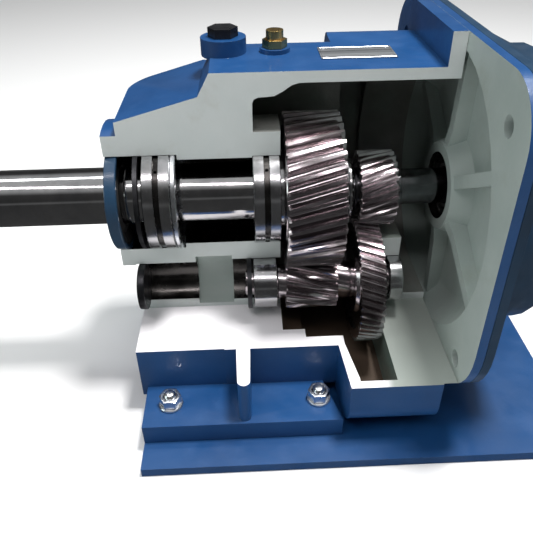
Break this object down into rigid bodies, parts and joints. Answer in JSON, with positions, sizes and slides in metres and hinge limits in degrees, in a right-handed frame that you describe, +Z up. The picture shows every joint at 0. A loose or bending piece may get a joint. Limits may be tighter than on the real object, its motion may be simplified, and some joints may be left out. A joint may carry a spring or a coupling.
{
  "type": "cutaway helical gear reducer",
  "caption": "Foot-mounted two-stage inline helical gear reducer, cut open to show its shafts, bearings and meshed helical gears.",
  "frame": {"origin": "on the base plate's underside, straight below the output shaft's axis", "axes": "+X along the shafts towards the input end, +Z up, the cut faces look towards -Y"},
  "size_m": [0.587, 0.346, 0.3595],
  "materials": {
    "blue_paint": "semi-gloss blue machine paint",
    "casting": "cut casting with a pale primer, blue paint outside",
    "polished_steel": "ground and polished",
    "gear_steel": "ground gear steel, lightly oiled",
    "bearing_steel": "ground bearing steel",
    "zinc": "bright zinc plated",
    "black_steel": "blackened steel",
    "seal_rubber": "matte black nitrile",
    "brass": "turned brass",
    "name_plate": "blank satin aluminium"
  },
  "bodies": {
    "root": {"base_plate": "blue_paint", "motor_adapter": "blue_paint", "output_seal_case": "blue_paint", "gear_housing": "casting", "input_cover": "casting", "outboard_bearing_outer_ring": "bearing_steel", "inboard_bearing_outer_ring": "bearing_steel", "layshaft_left_bearing_outer_ring": "bearing_steel", "layshaft_right_bearing_outer_ring": "bearing_steel", "input_bearing_outer_ring": "bearing_steel", "spacer_ring": "zinc", "foot_stud_1": "zinc", "foot_stud_2": "zinc", "foot_stud_3": "zinc", "foot_stud_4": "zinc", "foot_washer_1": "zinc", "foot_washer_2": "zinc", "foot_washer_3": "zinc", "foot_washer_4": "zinc", "foot_nut_1": "zinc", "foot_nut_2": "zinc", "foot_nut_3": "zinc", "foot_nut_4": "zinc", "flange_bolt_lower": "zinc", "flange_bolt_upper": "zinc", "output_snap_ring": "black_steel", "layshaft_bore_cap": "black_steel", "layshaft_snap_ring": "black_steel", "filler_plug": "black_steel", "oil_level_plug": "black_steel", "output_seal_lip": "seal_rubber", "input_seal": "seal_rubber", "breather_plug": "brass", "name_plate": "name_plate"},
    "output": {"output_shaft": "polished_steel", "output_key": "zinc", "output_gear": "gear_steel", "gear_retaining_ring": "black_steel", "outboard_bearing_inner_ring": "bearing_steel", "outboard_bearing_rollers": "bearing_steel", "inboard_bearing_inner_ring": "bearing_steel", "inboard_bearing_rollers": "bearing_steel"},
    "lay": {"layshaft": "gear_steel", "intermediate_wheel": "gear_steel", "wheel_retaining_ring": "black_steel", "layshaft_left_bearing_inner_ring": "bearing_steel", "layshaft_left_bearing_rollers": "bearing_steel", "layshaft_right_bearing_inner_ring": "bearing_steel", "layshaft_right_bearing_rollers": "bearing_steel"},
    "input": {"input_shaft": "polished_steel", "input_pinion": "gear_steel", "pinion_retaining_ring": "black_steel", "input_bearing_inner_ring": "bearing_steel", "input_bearing_rollers": "bearing_steel"}
  },
  "joints": [
    {"name": "output_spin", "type": "hinge", "parent": "root", "child": "output", "pos_m": [0, 0, 0.2075], "axis": [1, 0, 0], "continuous": true},
    {"name": "layshaft_spin", "type": "hinge", "parent": "root", "child": "lay", "pos_m": [0, -0.02727, 0.11545], "axis": [1, 0, 0], "continuous": true},
    {"name": "input_spin", "type": "hinge", "parent": "root", "child": "input", "pos_m": [0, 0, 0.2075], "axis": [1, 0, 0], "continuous": true}
  ],
  "couplings": [
    {"joint": "layshaft_spin", "follows": "output_spin", "ratio": -3.25},
    {"joint": "input_spin", "follows": "output_spin", "ratio": 6.11}
  ]
}
